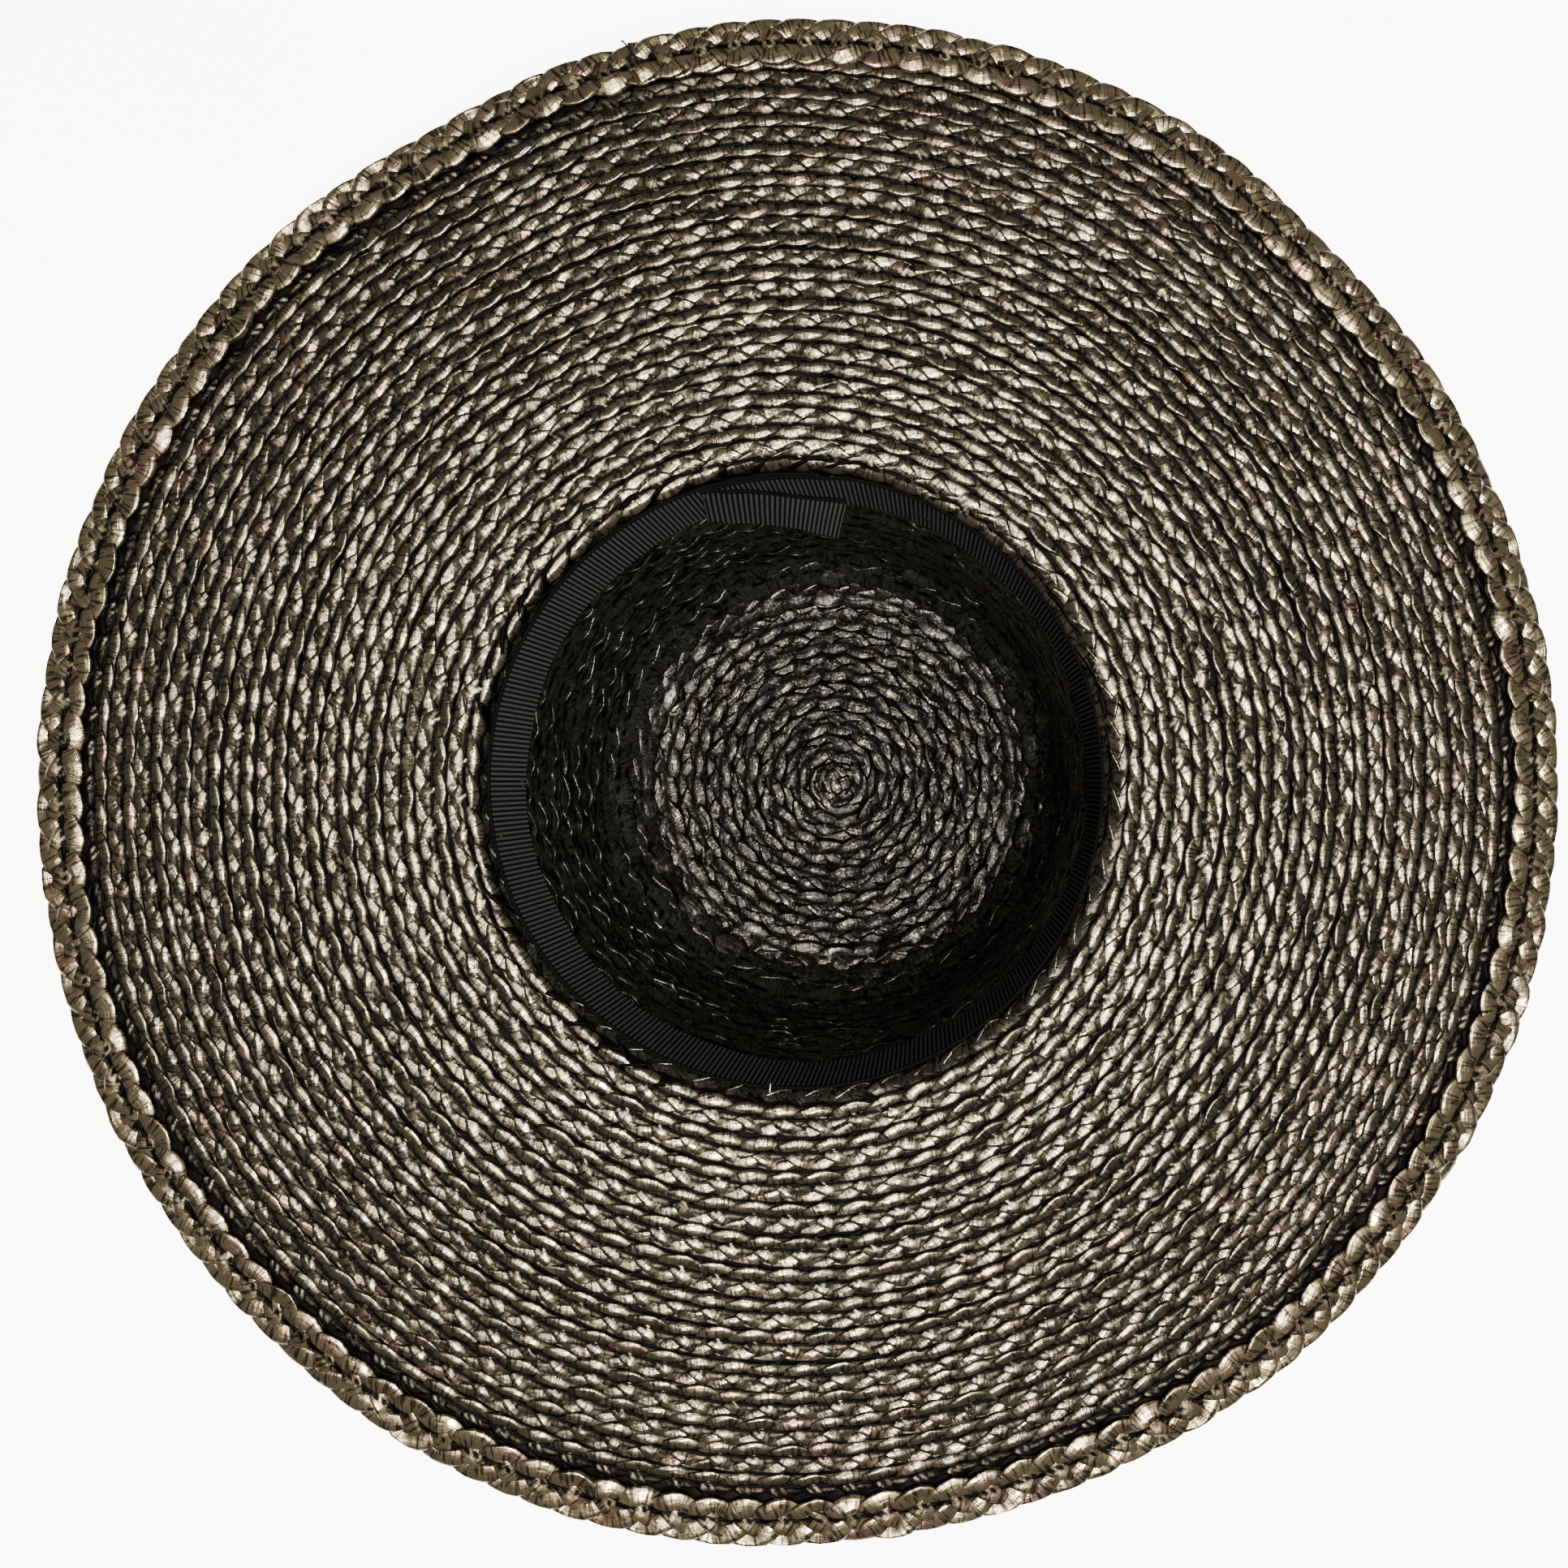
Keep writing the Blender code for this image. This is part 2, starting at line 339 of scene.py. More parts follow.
def side_wall(height, off, direction):
    """Points beside the crown's straight side, at a height and `off` to its inside."""
    radius = SIDE_TOP_RADIUS + (height - SIDE_TOP_Z) / math.tan(CLIMB) - off
    lean = CROWN_LEAN * (1 - height / HEAD_LINE_Z)
    height = height + 0 * radius
    return np.stack(
        (radius * np.cos(direction) + lean, radius * np.sin(direction), height),
        axis=-1)


def unit(vectors):
    """The same directions, each with a length of 1."""
    lengths = np.linalg.norm(vectors, axis=-1, keepdims=True)
    return vectors / np.maximum(lengths, 1e-12)


def smooth(values, low, high):
    """0 below low, 1 above high, eased between."""
    part = np.clip((values - low) / (high - low), 0.0, 1.0)
    return part * part * (3 - 2 * part)


def stitch_rows(turns):
    """Rows in from the rim's sewn line, for turns back from the braid's end.

    None on the last turn. Each turn before it lies one row further in: it steps in
    sharply under the braid's end near the rim, and evenly along the whole turn further
    in.
    """
    whole = np.floor(turns)
    part = turns - whole
    even = smooth(turns, 1.0, 6.0)
    step = np.interp(part, JOG[:, 0], JOG[:, 1]) * (1 - even) + part * even
    step_under = 0.09 * smooth(turns, 1.0, 1.2)
    return np.where(turns < 1, 0.0, whole - 1 + step + step_under)


class Spiral:
    """The sewn line of the braid: a spiral in the wall, from the tip to the rim."""

    def __init__(self, braid):
        rim_line = RIM_END - RIM_TO_STITCH
        count = (rim_line - TIP_TO_STITCH) / braid.row_pitch + START_TURN
        turns = np.linspace(count, 0.0, SPIRAL_POINTS)
        kernel = np.hanning(SPIRAL_EASE + 1)
        whole = slice(SPIRAL_EASE, -SPIRAL_EASE)
        rows = stitch_rows(turns)
        rows[whole] = np.convolve(rows, kernel / kernel.sum(), mode="same")[whole]
        self.turns = turns
        self.direction = BRAID_END - 2 * math.pi * turns
        inner = rim_line - rows * braid.row_pitch
        quiet = smooth(turns, 1.3, 2.5) * smooth(inner, 0.01, 0.05)
        # Slow waves, as hands guide the braid under the needle
        wobble = 0.00022 * np.sin(5 * self.direction + 1.7 * np.sin(0.9 * turns))
        wobble += 0.00016 * np.sin(11.3 * self.direction + 0.4 * turns)
        wobble += 0.00030 * np.sin(0.41 * turns + 2.0 * np.sin(self.direction))
        self.stitch = inner + quiet * wobble
        path = wall(self.stitch, 0.0 * turns, self.direction)
        steps = np.linalg.norm(np.diff(path, axis=0), axis=1)
        self.sewn = np.concatenate(([0.0], np.cumsum(steps)))

    def at(self, sewn):
        """Turns back, sewn line and direction at these lengths of braid."""
        turns = np.interp(sewn, self.sewn, self.turns)
        return (turns, np.interp(sewn, self.sewn, self.stitch),
                np.interp(sewn, self.sewn, self.direction))

    def sewn_at(self, along):
        """Length of braid used when the sewn line reaches this place in the wall."""
        return float(np.interp(along, np.maximum.accumulate(self.stitch), self.sewn))


def last_turn(turns):
    """1 on the braid's last turn and 0 on the turns before it."""
    return 1 - smooth(turns, 0.97, 1.08)


def growth(stitch):
    """Share of its full width that the plait has near the middle of the tip."""
    return smooth(stitch, 0.001, 0.0085) * 0.55 + 0.45


def plait_middle(edge, start):
    """From the sewn line to the plait's middle."""
    return (STITCH_TO_MIDDLE - LAST_TURN_NEARER * edge) * start


def lap(across, edge):
    """Height of the plait over the wall: its inner edge rides on the row before."""
    row = -0.17 * (across - STITCH_TO_MIDDLE)
    last = 0.0019 - 0.09 * (across + 0.0068)
    return row + (last - row) * edge


def tip_lap(across, edge, stitch):
    """The same height, half as much at the middle of the tip."""
    return lap(across, edge) * (1 - 0.5 * smooth(stitch, 0.012, 0.004))


def brim_waves(along, direction):
    """Slow waves of the limp brim, growing towards the rim."""
    share = np.clip((along - BRIM_START) / BRIM_WIDTH, 0.0, 1.0)
    wave = 0.0007 * np.sin(3 * direction + 0.6) + 0.0005 * np.sin(7 * direction + 2.1)
    return wave * share


def sway(turns, stitch, direction, edge):
    """The brim's waves, and the small rise of the braid's cut end."""
    return brim_waves(stitch, direction) + 0.0006 * edge * smooth(turns, 0.10, 0.0)


def brim_share(stitch):
    """From -1 at the tip through 0 at the head line to 1 at the rim."""
    return np.clip((stitch - BRIM_START) / BRIM_WIDTH, -1, 1)


def course(along, off, direction):
    """A line on the wall, with its upward, forward and sideways directions."""
    centre = wall(along, off, direction)
    normal = unit(wall(along, off + SLOPE_STEP, direction) - centre)
    ahead = unit(np.gradient(centre, axis=0))
    return centre, normal, ahead, unit(np.cross(normal, ahead))


def eased(values, passes=2):
    """Smooths along the strand: a leaf's roll or width fades under its neighbour."""
    kernel = np.array((1, 2, 3, 2, 1)) / 9
    for _ in range(passes):
        padded = np.concatenate((values[:2], values, values[-2:]))
        values = np.convolve(padded, kernel, mode="valid")
    return values


def crossings(phase):
    """A strand's lift over and under the others, and the number of the leaf it shows.

    It goes over, under, over on the way out and under, over, under on the way back.
    """
    lapse = phase + math.pi / 2
    place = np.mod(lapse, 2 * math.pi)
    crossing = np.mod(place, math.pi) * 4 / math.pi
    lift = -np.cos(math.pi * crossing)
    lift = np.where(crossing < 1, np.sin(math.pi * crossing / 2), lift)
    lift = np.where(crossing > 3, np.sin(math.pi * (4 - crossing) / 2), lift)
    lift = np.where(place < math.pi, -lift, lift)
    leaf = 3 * np.floor(lapse / (2 * math.pi)) + (place > math.pi / 2)
    leaf = leaf + (place > math.pi * 1.25) + (place > math.pi * 1.75)
    return lift, leaf.astype(int)


def painted_shade_share(beside, lift, turns, edge):
    """How much painted shade each point gets: in the stitch groove, under the next row,
    where a strand dips under another and beside the edge turn.
    """
    # Painted shadow that the edge turn casts on the outer part of the turn before it
    before = 0.8 * smooth(turns, 1.0, 1.06) * smooth(turns, 2.06, 1.96)
    line = (GROOVE_HALF + 0.0002 * edge)[:, None]
    # Painted shade in the stitch groove, under the next row's edge and where a strand
    # dips under another
    painted_shade = np.exp(-(beside / line) ** 2)
    painted_shade = painted_shade + smooth(beside, 0.0038, 0.0054) * (1 - edge)[:, None]
    painted_shade += (0.6 * smooth(-lift, 0.2, 0.9)[:, None]
             + smooth(beside, 0.0006, 0.0022) * before[:, None])
    painted_shade = np.clip(painted_shade, 0, 1)
    # The undersides are darkened by a fixed share
    painted_shade[:, UNDERSIDE:] = 0.32
    return painted_shade


def strand(spiral, braid, sewn, first, number):
    """One strand's rings and their attributes.

    It swings from side to side as a rounded triangle wave of the sewn length.
    """
    turns, stitch, direction = spiral.at(sewn)
    edge = last_turn(turns)
    start = growth(stitch)
    phase = 2 * math.pi * (sewn / braid.period + number / 4)
    swing = np.arcsin(0.9 * np.sin(phase)) / math.asin(0.9)
    half_swing = (SWING + LAST_TURN_SWING * edge) * start
    crown = smooth(stitch, BRIM_START - 0.001, SIDE_END - 0.004)
    steep = crown * smooth(stitch, TIP_RADIUS, SIDE_START - 0.01)
    snug = 1 + 0.2 * crown + 1.0 * steep
    width = (braid.strand_width / 2) * (1 + 0.27 * edge) * start * snug
    outer = smooth(stitch, BRIM_START + 0.02, BRIM_START + 0.06)
    width *= 1 - 0.06 * outer * (1 - edge)

    # Each leaf's own roll, width, rise, shift, crease and tint, and small ticks
    lift, leaf = crossings(phase)
    rng = np.random.default_rng(braid.seed + number)
    draws = rng.normal(size=(6, LEAF_DRAWS)).clip(-2, 2)
    rng = np.random.default_rng(braid.seed + 10 + number)
    ticks = rng.normal(size=(8, TICK_DRAWS))[:, first:first + len(sewn)].clip(-2, 2)
    roll = np.radians(eased(ROLL_SPREAD * draws[0][leaf]))
    width = width * eased(1 + WIDTH_SPREAD * draws[1][leaf]) * (0.93 + 0.12 * lift)
    rise = eased(RISE_SPREAD * draws[2][leaf])
    shift = eased(SHIFT_SPREAD * draws[3][leaf])
    crease = eased(CREASE_SPREAD * draws[4][leaf], 1)
    tint = draws[5][leaf]

    # The strand's line, turned by its roll
    across = plait_middle(edge, start) + half_swing * swing + shift
    off = tip_lap(across, edge, stitch) + braid.crossing * lift + rise
    off += sway(turns, stitch, direction, edge)
    centre, normal, ahead, side = course(stitch + across, off, direction)
    outward = unit(wall(stitch + across + SLOPE_STEP, off, direction) - centre)
    normal = unit(np.cross(ahead, side))
    side = side * np.cos(roll)[:, None] + normal * np.sin(roll)[:, None]
    normal = unit(np.cross(ahead, side))

    # Its rings, creased, ticked and pulled in where it is sewn
    reach = STRAND_ACROSS[None, :] * width[:, None]
    reach[:, 2:5] += (crease * width)[:, None]
    height = STRAND_HEIGHT[None, :] * braid.strand_height * np.ones_like(reach)
    height[:, 1:6] *= 1 + TICK_HEIGHT * ticks[0:5].T
    reach[:, (0, 6)] *= 1 + TICK_WIDTH * ticks[5:7].T
    beside = across[:, None] + reach * np.einsum("ij,ij->i", side, outward)[:, None]
    deep = braid.groove * (1 - 0.3 * edge) * (1 - 0.6 * crown)
    height -= deep[:, None] * np.exp(-(beside / GROOVE_HALF) ** 2)
    rings = centre[:, None, :] + side[:, None, :] * reach[..., None]
    rings = rings + normal[:, None, :] * height[..., None]
    over = np.maximum(beside - 0.0072, 0.0) * 0.65 * edge[:, None]
    rings -= outward[:, None, :] * over[..., None]
    rings[..., 2] = np.maximum(rings[..., 2], FLOOR_GAP)

    paper = np.empty(rings.shape)
    paper[..., 0] = (sewn * 100)[:, None] + 37.0 * number
    paper[..., 1] = reach * 100
    paper[..., 2] = (leaf % 97)[:, None] * 1.37 + number
    look = np.empty(rings.shape)
    look[..., 0] = tint[:, None]
    look[..., 1] = brim_share(stitch)[:, None]
    # Undersides count as outside the crown, so the crown's painted shade stays off the
    # hat's outer face
    look[:, UNDERSIDE:, 1] = np.maximum(look[:, UNDERSIDE:, 1], 0.3)
    look[..., 2] = draws[1][(leaf * 7) % LEAF_DRAWS][:, None]
    painted_shade = painted_shade_share(beside, lift, turns, edge)
    return rings, paper_looks(paper, look, np.repeat(painted_shade[..., None], 3, axis=-1))


def paper_looks(paper, look, depth):
    """The attributes that the paper's finish reads."""
    # depth is the share of painted shade at each point
    return {"paper_place": paper, "leaf_look": look, "leaf_painted_shade": depth}


def heart(spiral, braid, sewn):
    """The plait's hidden inner leaves, as one flat strip under its crossings.

    Four points across on top and two below, on the wall at the lapped height.
    """
    turns, stitch, direction = spiral.at(sewn)
    edge = last_turn(turns)
    start = growth(stitch)
    half = (HEART_HALF + 0.0006 * edge) * start
    rings = []
    for share, sink in HEART:
        across = plait_middle(edge, start) + half * share
        off = tip_lap(across, edge, stitch) - 0.0001 * sink
        off += sway(turns, stitch, direction, edge)
        off -= (braid.groove * 0.4) * np.exp(-(across / 0.0012) ** 2)
        rings.append(wall(stitch + across, off, direction))
    rings = np.stack(rings, axis=1)
    rings[..., 2] = np.maximum(rings[..., 2], FLOOR_GAP)
    paper = np.zeros(rings.shape)
    paper[..., 0] = (sewn * 100)[:, None]
    look = np.zeros(rings.shape)
    look[..., 1] = brim_share(stitch)[:, None]
    # The hidden strip gets a fixed share of painted shade
    return rings, paper_looks(paper, look, np.full(rings.shape, 0.5))


def tube_faces(count, around):
    """Quads between neighbouring rings, and one face on each end."""
    ring = np.arange(around)
    here = np.arange(count - 1)[:, None] * around
    quads = np.stack((here + ring, here + (ring + 1) % around,
                      here + around + (ring + 1) % around, here + around + ring),
                     axis=-1)
    return quads.reshape(-1, 4), [ring[::-1], (count - 1) * around + ring]


def skin(name, tubes, material, stands_for=(), slot=None):
    """One mesh from tubes of rings and their attributes, with its faces turned out."""
    points, faces, caps, values = [], [], [], {}
    base = 0
    for rings, attributes in tubes:
        count, around = rings.shape[:2]
        quads, ends = tube_faces(count, around)
        corner = rings[:-1] - rings[:-1].mean(axis=1, keepdims=True)
        beside = np.roll(rings, -1, axis=1)[:-1] - rings[:-1]
        following = rings[1:] - rings[:-1]
        if np.einsum("ijk,ijk->", np.cross(beside, following), corner) < 0:
            quads = quads[:, ::-1]
            ends = [end[::-1] for end in ends]
        points.append(rings.reshape(-1, 3))
        faces.append(quads + base)
        caps += [end + base for end in ends]
        for key, value in attributes.items():
            values.setdefault(key, []).append(value.reshape(-1, 3))
        base += count * around
    mesh = fill_mesh(name, np.concatenate(points), np.concatenate(faces), caps)
    for key, parts in values.items():
        layer = mesh.attributes.new(key, "FLOAT_VECTOR", "POINT")
        flat = np.concatenate(parts).astype(np.float32).ravel()
        layer.data.foreach_set("vector", flat)
    return place(name, mesh, material, stands_for, slot)


def fill_mesh(name, points, quads, caps=()):
    """A smooth mesh from points, quads and a few faces with more corners."""
    corners = np.concatenate([quads.ravel(), *caps]).astype(np.int32)
    totals = np.array([4] * len(quads) + [len(cap) for cap in caps])
    starts = np.concatenate(([0], np.cumsum(totals)[:-1])).astype(np.int32)
    mesh = bpy.data.meshes.new(name)
    mesh.vertices.add(len(points))
    mesh.vertices.foreach_set("co", points.astype(np.float32).ravel())
    mesh.loops.add(len(corners))
    mesh.loops.foreach_set("vertex_index", corners)
    mesh.polygons.add(len(totals))
    mesh.polygons.foreach_set("loop_start", starts)
    mesh.polygons.foreach_set("use_smooth", np.ones(len(totals), bool))
    mesh.update(calc_edges=True)
    mesh.validate()
    return mesh


def place(name, mesh, material, stands_for=(), slot=None, body="root"):
    """Puts a finished mesh in the scene, on its body, and gives it its finish."""
    mesh.materials.append(material)
    obj = bpy.data.objects.new(name, mesh)
    bpy.context.scene.collection.objects.link(obj)
    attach(obj, body)
    if stands_for:
        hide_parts(*stands_for)
    return obj


def braid_piece(name, low, high, stands_for, slot, extra=()):
    """The plait between two places in the wall, as one piece."""
    settings = bpy.context.scene.hat_braid
    spiral = Spiral(settings)
    step = settings.period / SAMPLES
    last = math.floor(spiral.sewn[-1] / step)
    begin = 0 if low is None else round(spiral.sewn_at(low) / step)
    finish = last if high is None else round(spiral.sewn_at(high) / step)
    if finish - begin < SAMPLES:
        raise RuntimeError(f"{name} has no length: check the row pitch")
    first = max(0, begin - PAST_ENDS)
    sewn = np.arange(first, min(finish + PAST_ENDS, last) + 1) * step
    keep = slice(begin - first, finish - first + 1)
    tubes = [*extra, heart(spiral, settings, sewn[keep][::2])]
    for number in range(4):
        rings, looks = strand(spiral, settings, sewn, first, number)
        kept = {key: value[keep] for key, value in looks.items()}
        tubes.append((rings[keep], kept))
    return skin(name, tubes, paper_finish(), stands_for=stands_for, slot=slot)


def last_cut(braid):
    """Where the last turn but one ends and the edge braid starts."""
    return RIM_END - RIM_TO_CUT - braid.row_pitch * 0.9


class Tree:
    """Short words for building a node tree."""

    def __init__(self, tree):
        self.tree = tree
        self.column = 0

    def add(self, kind, inputs=None, **settings):
        node = self.tree.nodes.new(kind)
        node.location = (self.column, 0)
        self.column += 180
        for key, value in settings.items():
            setattr(node, key, value)
        for key, value in (inputs or {}).items():
            self.feed(value, node.inputs[key])
        return node

    def feed(self, value, socket):
        if isinstance(value, bpy.types.NodeSocket):
            self.tree.links.new(value, socket)
        else:
            socket.default_value = value

    def attribute(self, name, output="Vector"):
        return self.add("ShaderNodeAttribute", attribute_name=name).outputs[output]

    def math(self, operation, *values):
        node = self.add("ShaderNodeMath", dict(enumerate(values)), operation=operation)
        return node.outputs[0]

    def times(self, first, second):
        return self.math("MULTIPLY", first, second)

    def times_plus(self, first, second, third):
        return self.math("MULTIPLY_ADD", first, second, third)

    def noise(self, vector, scale, detail=3.0, roughness=0.55):
        node = self.add("ShaderNodeTexNoise", {
            "Vector": vector, "Scale": scale, "Detail": detail, "Roughness": roughness})
        return node.outputs["Fac"]

    def grain(self, vector, cycles, detail=2.0, roughness=0.55):
        """Noise with its own number of cycles in each direction."""
        return self.noise(self.stretch(vector, cycles), 1.0, detail, roughness)

    def ramp(self, value, low, high):
        node = self.add("ShaderNodeMapRange", {
            "Value": value, "From Min": low, "From Max": high})
        return node.outputs["Result"]

    def stretch(self, vector, scale):
        node = self.add("ShaderNodeMapping", {"Vector": vector, "Scale": scale})
        return node.outputs["Vector"]

    def bump(self, height, strength, distance):
        node = self.add("ShaderNodeBump", {
            "Strength": strength, "Distance": distance, "Height": height})
        return node.outputs["Normal"]

    def blend(self, share, first, second):
        node = self.add("ShaderNodeMix", data_type="RGBA")
        self.feed(share, node.inputs[0])
        self.feed(first, node.inputs[6])
        self.feed(second, node.inputs[7])
        return node.outputs[2]


def new_group(name, inputs, outputs):
    """An empty node group with these sockets: name, socket kind and start value."""
    group = bpy.data.node_groups.new(name, "ShaderNodeTree")
    for label, kind, value in inputs:
        socket = group.interface.new_socket(label, in_out="INPUT", socket_type=kind)
        if value is not None:
            socket.default_value = value
    for label, kind in outputs:
        group.interface.new_socket(label, in_out="OUTPUT", socket_type=kind)
    return group


def crumple_group():
    """Creases along a strand and short crinkles across it, as a height and masks."""
    found = bpy.data.node_groups.get("crumpled_paper")
    if found:
        return found
    group = new_group(
        "crumpled_paper",
        [("Place", "NodeSocketVector", None), ("Along", "NodeSocketFloat", 1.0),
         ("Across", "NodeSocketFloat", 1.0)],
        [("Height", "NodeSocketFloat"), ("Wear", "NodeSocketFloat"),
         ("Flecks", "NodeSocketFloat"), ("Pleats", "NodeSocketFloat")])
    tree = Tree(group)
    start = tree.add("NodeGroupInput")
    place_out = start.outputs["Place"]
    cells = tree.add("ShaderNodeTexVoronoi", {
        "Vector": tree.stretch(place_out, FACETS), "Scale": 1.0},
        feature="F1", voronoi_dimensions="2D")
    facets = tree.ramp(cells.outputs["Distance"], 0.0, 0.9)
    folds = tree.grain(place_out, FOLDS, 2.0, 0.5)
    ticks = tree.grain(place_out, TICKS, 1.0, 0.5)
    height = tree.times(folds, start.outputs["Along"])
    height = tree.times_plus(ticks, start.outputs["Across"], height)
    tree.add("NodeGroupOutput", {
        "Height": tree.times_plus(facets, 0.26, height),
        "Wear": tree.ramp(tree.noise(place_out, 2.3, 2.0, 0.7), 0.35, 0.7),
        "Flecks": tree.ramp(tree.grain(place_out, FLECKS), 0.56, 0.66),
        "Pleats": tree.ramp(tree.grain(place_out, PLEATS), 0.49, 0.40)})
    return group


def colour(values):
    return (*values, 1.0)


def new_finish(name):
    """A new material with its node tree and its shader."""
    material = bpy.data.materials.new(name)
    material.use_nodes = True
    nodes = material.node_tree.nodes
    return material, Tree(material.node_tree), nodes["Principled BSDF"]


def paper_finish():
    """Glazed crumpled paper: dark bronze, some leaves less glazed and some golden, with
    painted shade inside the crown, along pleat lines and in the seams.

    leaf_look holds a leaf's own tint, its place from tip to rim and its blush, and
    leaf_painted_shade how much painted shade a point gets in the seams and hollows.
    """
    found = bpy.data.materials.get("braid_paper")
    if found:
        return found
    tones = bpy.context.scene.hat_colours
    material, tree, shader = new_finish("braid_paper")
    place_in = tree.attribute("paper_place")
    parts = tree.add("ShaderNodeSeparateXYZ", {0: tree.attribute("leaf_look")})
    own, along, flush = (parts.outputs[axis] for axis in "XYZ")
    crumple = tree.add("ShaderNodeGroup", node_tree=crumple_group())
    tree.feed(place_in, crumple.inputs["Place"])
    crumple.inputs["Across"].default_value = 0.9
    outward = tree.ramp(along, 0.2, 0.8)
    rim = tree.ramp(along, 0.89, 0.94)
    inside = tree.ramp(along, -0.02, -0.07)
    tip = tree.ramp(along, -0.80, -0.98)
    painted_shade = tree.ramp(tree.attribute("leaf_painted_shade", "Fac"), 0.12, 0.68)

    # Golden leaves, most of them in the last turn, and less glazed ones, more of them
    # outwards. Inside the crown the same mask carries painted shade, weaker in small
    # flecks that catch the lamps as glints.
    mixed = tree.times_plus(own, 0.10, tree.grain(place_in, PATCHES, 3.0, 0.6))
    gold = tree.times_plus(rim, 0.9, tree.ramp(mixed, 0.55, 0.95))
    gold = tree.math("MINIMUM", gold, 1.0)
    dull_and_shade = tree.times(tree.ramp(mixed, 0.52, 0.25), 0.55)
    dull_and_shade = tree.math("MAXIMUM", dull_and_shade, tree.times(outward, 0.30))
    dull_and_shade = tree.times(dull_and_shade, tree.times_plus(rim, -0.6, 1.0))
    shade = tree.times_plus(crumple.outputs["Flecks"], -0.6, 1.0)
    dull_and_shade = tree.math("MAXIMUM", dull_and_shade, tree.times(inside, shade))

    # The tint with its gold and blush, then painted shade: darker inside the crown,
    # along the pleat lines and in the seams and hollows
    tint = tree.blend(gold, colour(tones.paper), colour(tones.paper_gold))
    blush = tree.times(tree.ramp(flush, 0.5, 2.0), outward)
    tint = tree.blend(blush, tint, BLUSH)
    # deep: painted shade for the crown's side wall and tip, and outside the crown the
    # dark paper of less glazed leaves
    deep = tree.blend(tip, SIDE_PAINTED_SHADE, colour(tones.paper_dark))
    deep = tree.blend(tree.times(tip, 0.92), deep, TIP_PAINTED_SHADE)
    deep = tree.blend(inside, colour(tones.paper_dark), deep)
    tint = tree.blend(dull_and_shade, tint, deep)
    # Painted shade along the pleat lines
    tint = tree.blend(tree.times(crumple.outputs["Pleats"], 0.85), tint, PAINTED_PLEAT_SHADE)
    # Painted shade in the seams and hollows
    tint = tree.blend(painted_shade, tint, PAINTED_SEAM_SHADE)

    # Less gloss where it is worn, inside the crown and in the painted seam shade, and
    # more relief in the tip
    shine = tree.times_plus(crumple.outputs["Wear"], 0.16, 0.15)
    shine = tree.times_plus(inside, 0.05, shine)
    shine = tree.times_plus(painted_shade, 0.35, shine)
    relief = tree.times(crumple.outputs["Height"], tree.times_plus(tip, 1.1, 1.0))
    tree.feed(tint, shader.inputs["Base Color"])
    tree.feed(shine, shader.inputs["Roughness"])
    tree.feed(tree.bump(relief, 1.0, 0.00011), shader.inputs["Normal"])
    shader.inputs["Metallic"].default_value = 0.88
    shader.inputs["Specular IOR Level"].default_value = 0.1
    return material


def thread_finish(name, base):
    """Dull thread with fine twist."""
    found = bpy.data.materials.get(name)
    if found:
        return found
    material, tree, shader = new_finish(name)
    place_in = tree.add("ShaderNodeTexCoord").outputs["Object"]
    fuzz = tree.noise(place_in, 2400.0, 2.0)
    lighter = tuple(1.6 * value + 0.002 for value in base)
    tint = tree.blend(tree.ramp(fuzz, 0.3, 0.8), colour(base), colour(lighter))
    tree.feed(tint, shader.inputs["Base Color"])
    tree.feed(tree.bump(fuzz, 0.5, 0.0001), shader.inputs["Normal"])
    shader.inputs["Roughness"].default_value = 0.9
    shader.inputs["Specular IOR Level"].default_value = 0.05
    return material


def ribbon_finish():
    """Matt black ribbon: fine yarns along its length over the modelled ribs, with
    painted shade in the rib valleys and along its top edge.
    """
    found = bpy.data.materials.get("ribbed_ribbon")
    if found:
        return found
    tones = bpy.context.scene.hat_colours
    material, tree, shader = new_finish("ribbed_ribbon")
    place_in = tree.attribute("ribbon_place")
    parts = tree.add("ShaderNodeSeparateXYZ", {0: place_in})
    yarns = tree.grain(place_in, (6.0, 45.0, 0.0))
    lint = tree.grain(place_in, (1.1, 1.3, 0.0), 4.0, 0.7)
    tint = tree.blend(tree.ramp(yarns, 0.3, 0.75), colour(tones.ribbon), YARN_TINT)
    tint = tree.blend(tree.ramp(lint, 0.6, 0.85), tint, LINT_TINT)
    # Painted shade in the rib valleys and along the top edge
    rib_lit_share = tree.times(tree.ramp(parts.outputs["Z"], 0.25, 1.0),
                       tree.ramp(parts.outputs["Y"], 0.05, 0.12))
    tint = tree.blend(rib_lit_share, PAINTED_VALLEY_SHADE, tint)
    tree.feed(tint, shader.inputs["Base Color"])
    tree.feed(tree.times_plus(lint, 0.2, 0.75), shader.inputs["Roughness"])
    tree.feed(tree.bump(yarns, 0.6, 0.00012), shader.inputs["Normal"])
    shader.inputs["Specular IOR Level"].default_value = 0.04
    return material


def floor_finish():
    """Pale matt board with a hint of mottle, bright to the camera only."""
    tones = bpy.context.scene.hat_colours
    material, tree, shader = new_finish("pale_board")
    mottle = tree.noise(tree.add("ShaderNodeTexCoord").outputs["Object"], 6.0, 1.0)
    tint = tree.blend(tree.ramp(mottle, 0.3, 0.7), colour(tones.floor), BOARD_TINT)
    seen = tree.add("ShaderNodeLightPath").outputs["Is Camera Ray"]
    tree.feed(tint, shader.inputs["Base Color"])
    tree.feed(tree.blend(seen, BOARD_GLOW, tint), shader.inputs["Emission Color"])
    shader.inputs["Emission Strength"].default_value = FLOOR_STRENGTH
    shader.inputs["Roughness"].default_value = 0.9
    return material


